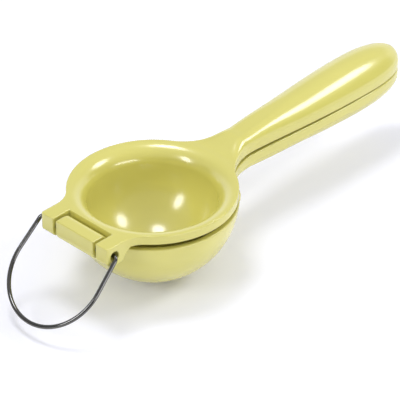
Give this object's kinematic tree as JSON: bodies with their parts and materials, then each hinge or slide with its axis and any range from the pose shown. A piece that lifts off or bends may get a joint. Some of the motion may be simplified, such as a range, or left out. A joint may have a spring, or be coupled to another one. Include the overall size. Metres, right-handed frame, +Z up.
{
  "type": "hinged lemon squeezer",
  "caption": "Hand lemon squeezer: a round pressing dish on one arm nests in a perforated cup on the other, both hinged on a tube that also takes a wire hanging loop.",
  "frame": {"origin": "centre of the flat foot under the cup", "axes": "+X runs from the hinge towards the handle tips, +Y across the handles along the hinge, +Z up out of the dish"},
  "size_m": [0.2524, 0.0824, 0.0556],
  "materials": {
    "enamel": "pale lemon-yellow gloss enamel on cast aluminium",
    "steel": "drawn stainless steel"
  },
  "bodies": {
    "cup": {"cup_arm": "enamel"},
    "press": {"press_arm": "enamel", "hinge_tube": "steel"},
    "loop": {"hanging_loop": "steel"}
  },
  "joints": [
    {"name": "press_hinge", "type": "hinge", "parent": "cup", "child": "press", "pos_m": [-0.0466, 0, 0.03971], "axis": [0, -1, 0], "range_deg": [0, 90]},
    {"name": "loop_hinge", "type": "hinge", "parent": "cup", "child": "loop", "pos_m": [-0.0466, 0, 0.03971], "axis": [0, 1, 0], "range_deg": [-78, 100]}
  ]
}
